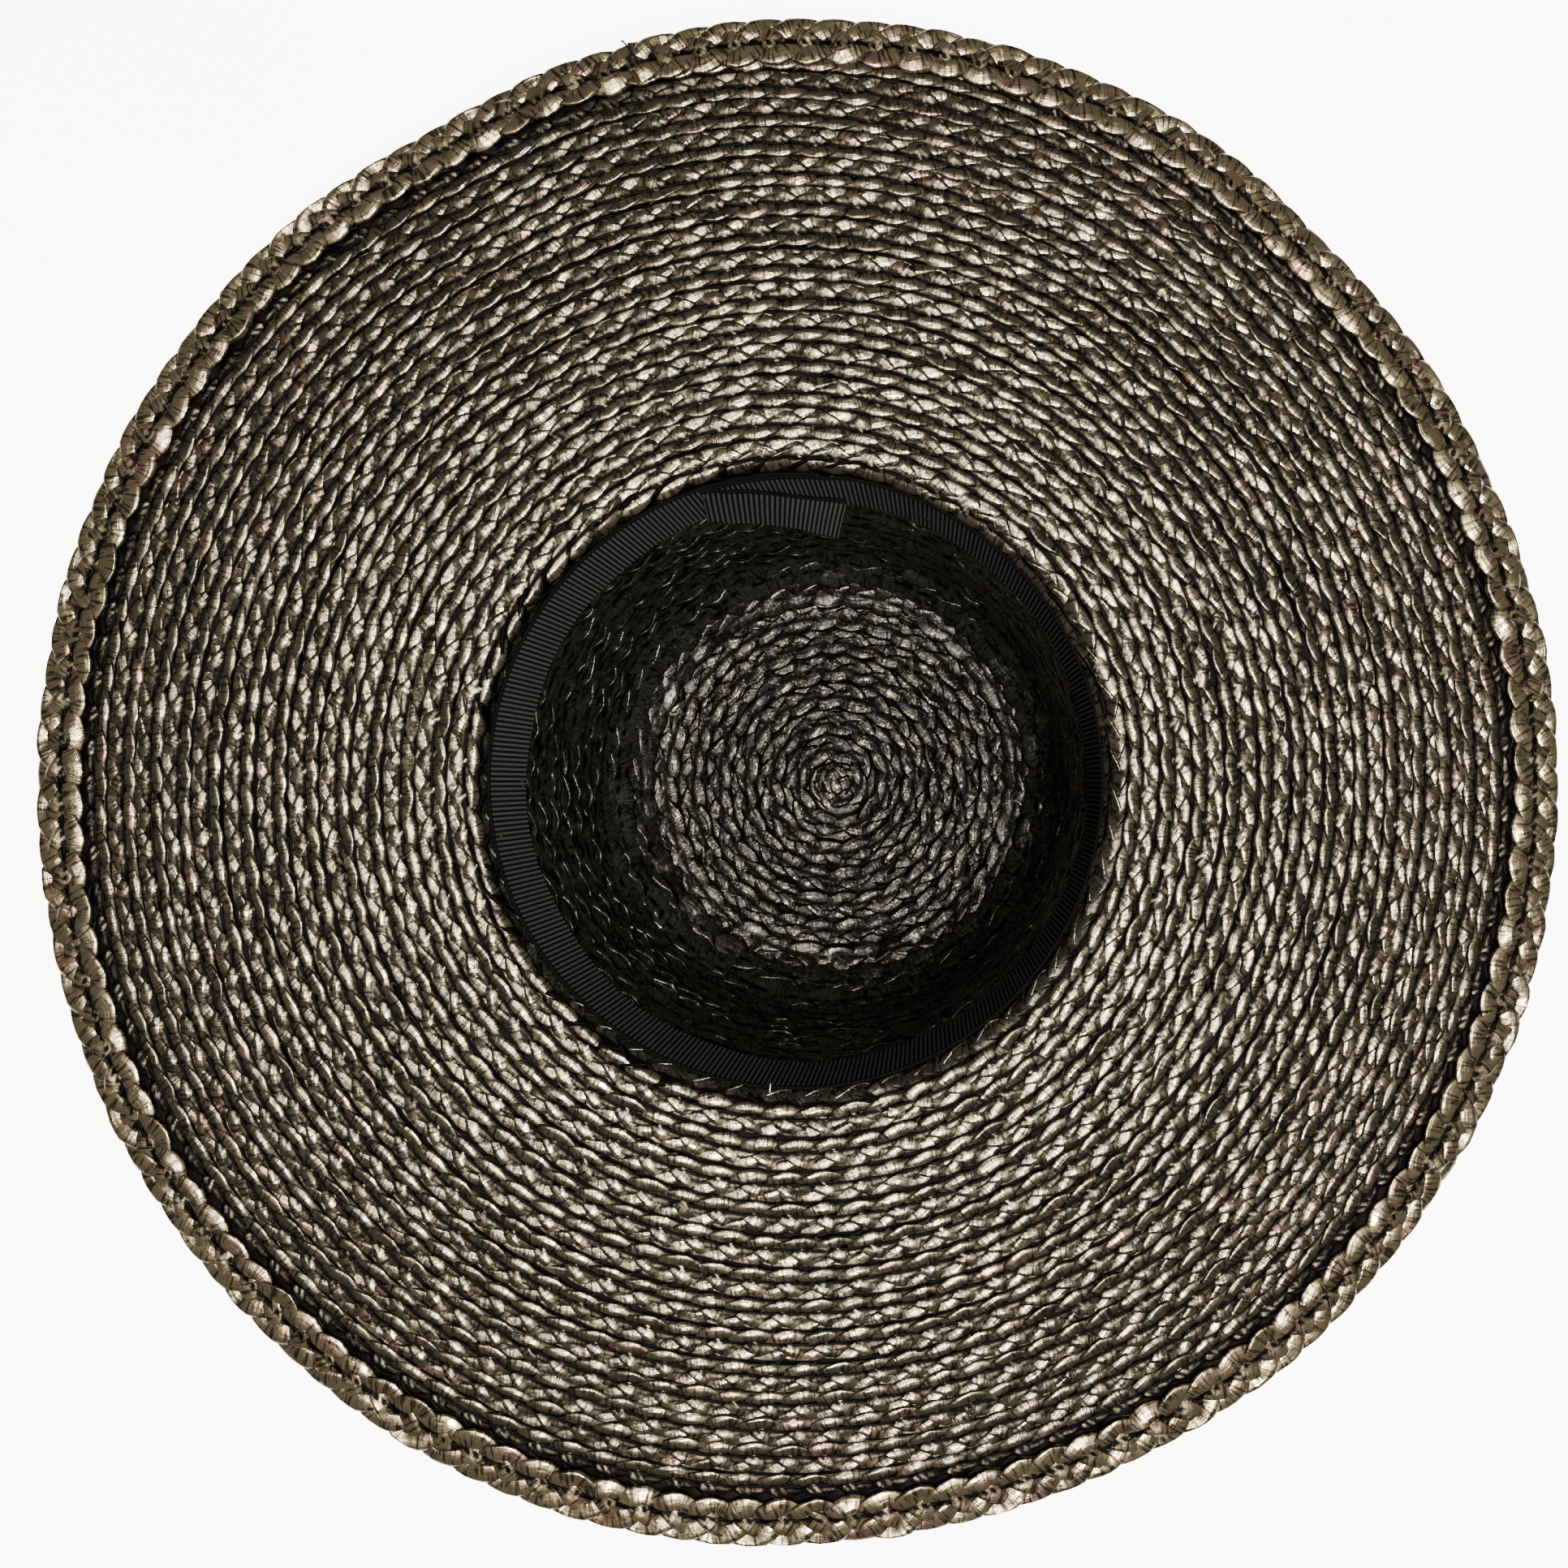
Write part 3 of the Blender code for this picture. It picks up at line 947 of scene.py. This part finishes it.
def knot_tubes(braid):
    """Folded leaves in the middle of the tip, where the plait starts.

    Each is a short flat arc, wide in the middle: half width times sqrt(1 - share
    squared). The leaves under the others are wide and long and point evenly all round.
    """
    tubes = []
    rng = np.random.default_rng(braid.seed + 40)
    share = np.linspace(-1.0, 1.0, KNOT_POINTS)
    half = np.sqrt(np.maximum(1 - share**2, 0.03))
    for number in range(-KNOT_UNDER, KNOT_OVER):
        if number < 0:
            turn = heading = number * 0.524
            far, wide, long, drop = 0.0, 0.0055, 0.0125, 0.0
        else:
            turn = number * 2.4
            heading = turn + 1.2 + 0.5 * rng.normal()
            far = 0.0064 * math.sqrt((KNOT_OVER - number) / KNOT_OVER)
            wide, long, drop = 0.0026, 0.0050, 0.0010
        middle = np.array((CROWN_LEAN + far * math.cos(turn), far * math.sin(turn)))
        ahead = np.array((math.cos(heading), math.sin(heading), 0.0))
        side = np.array((-ahead[1], ahead[0], 0.0))
        width = wide * half * rng.uniform(0.85, 1.15)
        centre = np.zeros((KNOT_POINTS, 3))
        centre[:, :2] = middle + long * share[:, None] * ahead[None, :2]
        centre[:, :2] += 0.0007 * (share[:, None] ** 2) * side[None, :2]
        centre[:, 2] = 0.0012 + 0.00011 * number - drop * share**2
        reach = STRAND_ACROSS[None, :] * width[:, None]
        height = STRAND_HEIGHT[None, :] * 0.0006 * half[:, None]
        rings = centre[:, None] + side * reach[..., None]
        rings[..., 2] = np.maximum(rings[..., 2] + height, FLOOR_GAP)
        paper = np.empty(rings.shape)
        paper[..., 0] = share[:, None] * 0.42 + number * 3.1
        paper[..., 1] = reach * 100
        paper[..., 2] = number * 1.7
        look = np.tile((rng.normal(), -1.0, 0.0), (*reach.shape, 1))
        # Painted shade, stronger towards each leaf's ends
        depth = np.repeat((1 - half[:, None] + 0 * reach)[..., None], 3, axis=-1)
        tubes.append((rings, paper_looks(paper, look, depth)))
    return tubes


class HAT_OT_tip(Operator):
    """Braid rows of the tip and shoulder"""

    bl_idname = "hat.tip"
    bl_label = "Tip"

    def execute(self, context):
        knot = knot_tubes(context.scene.hat_braid)
        braid_piece("tip_braid", None, SIDE_START, ("crown",), "crown", knot)
        return {"FINISHED"}


class HAT_OT_side(Operator):
    """Braid rows of the crown's side, up to the head line"""

    bl_idname = "hat.side"
    bl_label = "Side"

    def execute(self, context):
        braid_piece("side_braid", SIDE_START, SIDE_CUT, ("crown",), "crown")
        return {"FINISHED"}


class HAT_OT_brim(Operator):
    """Braid rows of the brim, in three bands"""

    bl_idname = "hat.brim"
    bl_label = "Brim"

    def execute(self, context):
        cuts = (SIDE_CUT, INNER_CUT, MIDDLE_CUT, last_cut(context.scene.hat_braid))
        names = ("brim_braid_inner", "brim_braid_middle", "brim_braid_outer")
        for name, low, high in zip(names, cuts[:-1], cuts[1:]):
            braid_piece(name, low, high, ("brim",), "brim")
        return {"FINISHED"}


class HAT_OT_edge(Operator):
    """The last turn of the braid, on top of the brim, with its cut end"""

    bl_idname = "hat.edge"
    bl_label = "Edge braid"

    def execute(self, context):
        start = last_cut(context.scene.hat_braid)
        braid_piece("edge_braid_turn", start, None, ("edge_braid",), "edge_braid")
        return {"FINISHED"}


def rings_round(centre, side, up, radius, corners):
    """Round rings at each point of a line, with the same radius all along."""
    corner = np.arange(corners) * 2 * math.pi / corners
    return centre[:, None] + radius * (
        side[:, None] * np.cos(corner)[None, :, None]
        + up[:, None] * np.sin(corner)[None, :, None])


def round_tube(centre, radius):
    """A six-sided tube along a line of points."""
    ahead = unit(np.gradient(centre, axis=0))
    side = unit(np.cross(ahead, (0.31, 0.17, 0.94)))
    return rings_round(centre, side, np.cross(side, ahead), radius, 6)


def thread_ends():
    """Two stitches over the braid's cut end, and their cut tails."""
    tubes = []
    share = np.linspace(0.0, 1.0, 14)
    for first, last, inner, outer in END_STITCHES:
        direction = np.radians(first + (last - first) * share)
        along = RIM_END - inner + (inner - outer) * share
        rise = 0.0026 + 0.0005 * np.sin(math.pi * share) - 0.0022 * share**6
        rise -= 0.0016 * (1 - share) ** 6
        line = wall(along, rise, direction)
        tubes.append((round_tube(line, END_STITCH_RADIUS), {}))
    return tubes


def tack_stitch():
    """One short pale stitch from the ribbon's face over its top edge."""
    share = np.linspace(0.0, 1.0, 9)
    radius = 0.0882 + 0.0024 * share
    height = CROWN_DEPTH - 0.0016 + 0.0016 * np.sin(math.pi * share * 0.75)
    centre = np.stack((radius * math.cos(TACK_DIRECTION),
                       radius * math.sin(TACK_DIRECTION), height), axis=-1)
    return round_tube(centre, TACK_RADIUS)


class HAT_OT_thread(Operator):
    """Sewing thread along the braid's stitch line"""

    bl_idname = "hat.thread"
    bl_label = "Thread"

    def execute(self, context):
        braid = context.scene.hat_braid
        tones = context.scene.hat_colours
        spiral = Spiral(braid)
        sewn = np.arange(THREAD_START, spiral.sewn[-1], THREAD_STEP)
        turns, stitch, direction = spiral.at(sewn)
        edge = last_turn(turns)
        rng = np.random.default_rng(braid.seed)
        across = 0.00012 * rng.normal(size=len(sewn))
        dip = 0.00012 * np.sin(2 * math.pi * sewn / STITCH_LENGTH)
        off = lap(across, edge) + braid.crossing + braid.strand_height - braid.groove
        off = off + brim_waves(stitch, direction) + dip + 0.0001
        centre, normal, _, side = course(stitch + across, off, direction)
        rings = rings_round(centre, side, normal, braid.thread, 4)
        dark = thread_finish("sewing_thread", tones.thread)
        skin("sewing_thread", [(rings, {})] + thread_ends(), dark, slot="brim")
        pale = thread_finish("tacking_thread", tones.tack)
        skin("tack_stitch", [(tack_stitch(), {})], pale, slot="sweatband")
        return {"FINISHED"}


def ribbon_grid(place_at, length, rib):
    """A ribbed strip: rounded waves along its length, and a raised edge on both sides.

    place_at(part, drop, out) gives points from the share of the length, the share of
    the width and the distance out of the face.
    """
    drops = RIBBON_DROPS
    ribs = round(length / rib)
    part = np.linspace(0.0, 1.0, max(8, ribs * 4) + 1)
    ridge = 0.5 + 0.5 * np.cos(2 * math.pi * part * ribs)
    edge = np.exp(-((drops - 0.02) / 0.018) ** 2)
    edge = edge + np.exp(-((drops - 0.98) / 0.018) ** 2)
    front = 0.00038 * ridge[:, None] * (1 - 0.6 * edge) + 0.00016 * edge
    outer = place_at(part[:, None], drops[None, :], RIBBON_WALL + front)
    back = place_at(part[:, None], drops[None, ::3], 0.0 * part[:, None])
    rings = np.concatenate((outer, back[:, ::-1]), axis=1)
    place_in = np.zeros(rings.shape)
    place_in[..., 0] = part[:, None] * length * 100
    widths = np.concatenate((drops, drops[::3][::-1]))
    place_in[..., 1] = widths[None, :] * RIBBON_WIDTH * 100
    # Z holds the ridge, which the finish uses to paint shade into the valleys
    place_in[..., 2] = ridge[:, None]
    return rings, {"ribbon_place": place_in}


def band_place(part, drop, out):
    """Points on the ribbon along the wall, with its lapped end over its start."""
    direction = RIBBON_START + RIBBON_SWEEP * part + 0 * drop
    lapped = 0.0009 * smooth(part, 0.925, 0.94)
    ripple = 0.0003 * np.sin(9 * direction) * drop
    height = RIBBON_TOP - RIBBON_WIDTH * drop + 0 * part
    return side_wall(height, RIBBON_BACK + out + lapped + ripple, direction)


def tongue_place(part, drop, out):
    """Points on the ribbon's loose end, which hangs lower and stands off the wall."""
    degrees = TONGUE_START - TONGUE_SWEEP * part
    hang = np.interp(-degrees, -TONGUE[:, 0], TONGUE[:, 1])
    away = np.interp(-degrees, -TONGUE[:, 0], TONGUE[:, 2])
    low = RIBBON_TOP - RIBBON_WIDTH * (1 + hang)
    high = RIBBON_TOP - RIBBON_WIDTH * (0.01 + 0.62 * smooth(part, 0.0, 0.8))
    height = high + (low - high) * drop
    stand = RIBBON_BACK + 0.0010 + 0.0012 * smooth(part, 0.0, 0.2)
    stand = stand + away * RIBBON_WIDTH * drop**0.8
    return side_wall(height, stand + out, np.radians(degrees) + 0.05 * drop)


class HAT_OT_ribbon(Operator):
    """Ribbed ribbon inside the crown, with its lapped end hanging loose"""

    bl_idname = "hat.ribbon"
    bl_label = "Sweatband"

    def execute(self, context):
        rib = context.scene.hat_braid.rib
        length = RIBBON_SWEEP * (OPENING_RADIUS - RIBBON_BACK)
        strips = [ribbon_grid(band_place, length, rib),
                  ribbon_grid(tongue_place, TONGUE_LENGTH, rib)]
        ribbon = skin("sweatband_ribbon", strips, ribbon_finish(),
                      stands_for=("sweatband",), slot="sweatband")
        return {"FINISHED"}


def floor_board():
    """A wide flat square of four faces, which meet under the hat."""
    spread = np.linspace(-FLOOR_REACH, FLOOR_REACH, 3)
    grid = np.meshgrid(spread, spread, [0.0], indexing="ij")
    quads = np.array([(0, 3, 4, 1), (1, 4, 5, 2), (3, 6, 7, 4), (4, 7, 8, 5)])
    mesh = fill_mesh("floor", np.stack(grid, axis=-1).reshape(-1, 3), quads)
    mesh.materials.append(floor_finish())
    return bpy.data.objects.new("floor", mesh)


def softbox(name, location, side, power):
    """A soft square of light that looks at the head opening, unseen by the camera."""
    light = bpy.data.lights.new(name, "AREA")
    light.shape = "RECTANGLE"
    light.size = light.size_y = side
    light.energy = power
    light.color = LAMP_TINT
    lamp = bpy.data.objects.new(name, light)
    lamp.location = location
    towards = unit(np.array(LAMP_AIM) - np.array(location))
    lamp.rotation_euler = (
        math.acos(-towards[2]), 0.0, math.atan2(towards[1], towards[0]) - math.pi / 2)
    lamp.visible_camera = False
    return lamp


def studio_world():
    """A pale backdrop that is bright to the camera only."""
    world = bpy.data.worlds.new("studio")
    world.use_nodes = True
    tree = Tree(world.node_tree)
    backdrop = world.node_tree.nodes["Background"]
    backdrop.inputs["Color"].default_value = SKY_TINT
    seen = tree.add("ShaderNodeLightPath").outputs["Is Camera Ray"]
    strength = tree.times_plus(seen, BACKDROP_SEEN, BACKDROP_LIGHT)
    tree.feed(strength, backdrop.inputs["Strength"])
    return world


class HAT_OT_stage(Operator):
    """Camera above the opening, pale floor and soft studio light"""

    bl_idname = "hat.stage"
    bl_label = "Stage"

    def execute(self, context):
        scene = context.scene
        lens = bpy.data.cameras.new("camera")
        lens.sensor_width = CAMERA_SENSOR
        lens.lens = CAMERA_LENS
        lens.clip_start = 0.01
        camera = bpy.data.objects.new("camera", lens)
        camera.location = CAMERA_PLACE
        scene.collection.objects.link(camera)
        scene.camera = camera
        floor = floor_board()
        scene.collection.objects.link(floor)
        for name, location, side, power in LAMPS:
            scene.collection.objects.link(softbox(name, location, side, power))
        scene.world = studio_world()
        return {"FINISHED"}


class HAT_PT_panel(Panel):
    """Sizes, colours and pieces of the hat"""

    bl_label = "Floppy Braid Hat"
    bl_idname = "HAT_PT_panel"
    bl_space_type = "VIEW_3D"
    bl_region_type = "UI"
    bl_category = "Hat"

    def draw(self, context):
        column = self.layout.column()
        for group in (context.scene.hat_braid, context.scene.hat_colours):
            for key in group.__annotations__:
                column.prop(group, key)
        for operator in OPERATORS:
            column.operator(operator.bl_idname)


OPERATORS = (HAT_OT_stage, HAT_OT_tip, HAT_OT_side, HAT_OT_brim, HAT_OT_edge,
             HAT_OT_thread, HAT_OT_ribbon)
CLASSES = (HatBraid, HatColours, *OPERATORS, HAT_PT_panel)


def register():
    for each in CLASSES:
        bpy.utils.register_class(each)
    bpy.types.Scene.hat_braid = PointerProperty(type=HatBraid)
    bpy.types.Scene.hat_colours = PointerProperty(type=HatColours)


def unregister():
    del bpy.types.Scene.hat_colours
    del bpy.types.Scene.hat_braid
    for each in reversed(CLASSES):
        bpy.utils.unregister_class(each)


def main():
    register()
    bpy.ops.hat.stage()
    bpy.ops.hat.tip()
    bpy.ops.hat.side()
    bpy.ops.hat.brim()
    bpy.ops.hat.edge()
    bpy.ops.hat.thread()
    bpy.ops.hat.ribbon()


if __name__ == "__main__":
    main()
